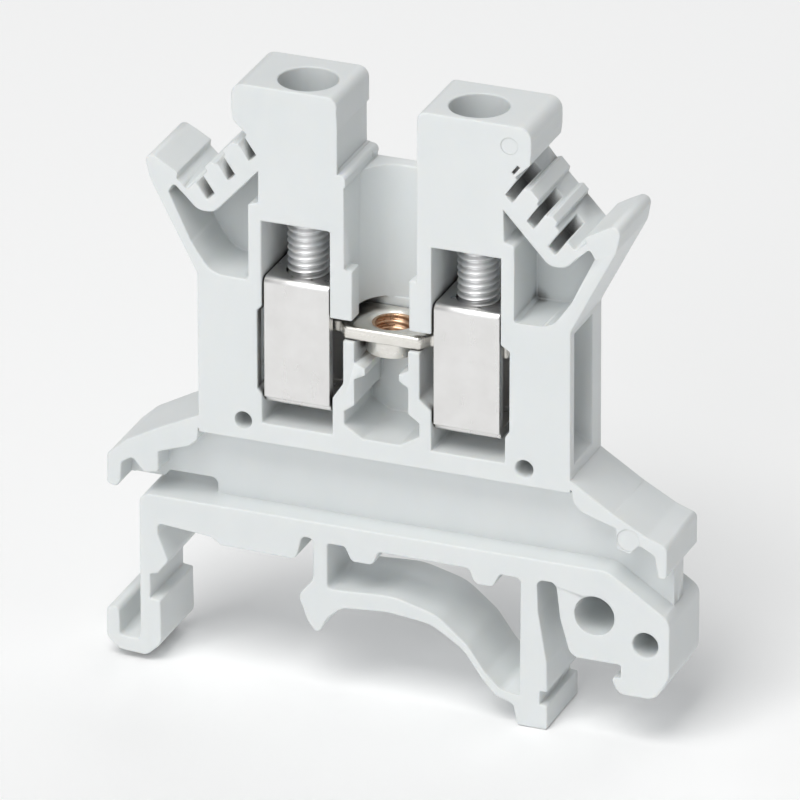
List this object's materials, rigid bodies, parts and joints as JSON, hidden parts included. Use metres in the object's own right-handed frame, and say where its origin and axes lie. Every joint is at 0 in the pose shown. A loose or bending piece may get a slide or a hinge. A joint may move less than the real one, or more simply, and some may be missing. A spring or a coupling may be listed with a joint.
{
  "type": "feed-through terminal block",
  "caption": "Slim rail-mounted feed-through terminal block, open on one side, with captive clamping screws that lift wire sleeves against a current bar.",
  "frame": {"origin": "middle of the rail, on the plane of its flanges' upper faces, in the plane of the block's open face", "axes": "+Z away from the rail towards the screw heads, +X along the block from the hook side to the claw side, +Y along the rail from the open face to the closed back"},
  "size_m": [0.0422, 0.0062, 0.0455],
  "materials": {
    "polyamide": "light grey moulded polyamide, fine satin",
    "plated_copper": "tin plated, warm at the edges, bare in the thread",
    "plated_steel": "bright plated sheet steel",
    "zinc_steel": "bright zinc plated, turned"
  },
  "bodies": {
    "housing": {"housing": "polyamide", "current_bar": "plated_copper"},
    "screw_left": {"clamp_screw_left": "zinc_steel"},
    "screw_right": {"clamp_screw_right": "zinc_steel"},
    "sleeve_left": {"clamp_sleeve_left": "plated_steel"},
    "sleeve_right": {"clamp_sleeve_right": "plated_steel"}
  },
  "joints": [
    {"name": "screw_left_turn", "type": "hinge", "parent": "housing", "child": "screw_left", "pos_m": [-0.00655, 0.00255, 0.0312], "axis": [0, 0, -1], "range_deg": [-650, 2882]},
    {"name": "screw_right_turn", "type": "hinge", "parent": "housing", "child": "screw_right", "pos_m": [0.00605, 0.00255, 0.0312], "axis": [0, 0, -1], "range_deg": [-650, 2882]},
    {"name": "sleeve_left_lift", "type": "slide", "parent": "housing", "child": "sleeve_left", "axis": [0, 0, 1], "range_m": [-0.0009, 0.004]},
    {"name": "sleeve_right_lift", "type": "slide", "parent": "housing", "child": "sleeve_right", "axis": [0, 0, 1], "range_m": [-0.0009, 0.004]}
  ],
  "couplings": [
    {"joint": "screw_left_turn", "follows": "sleeve_left_lift", "rad_per_m": 12566},
    {"joint": "screw_right_turn", "follows": "sleeve_right_lift", "rad_per_m": 12566}
  ]
}
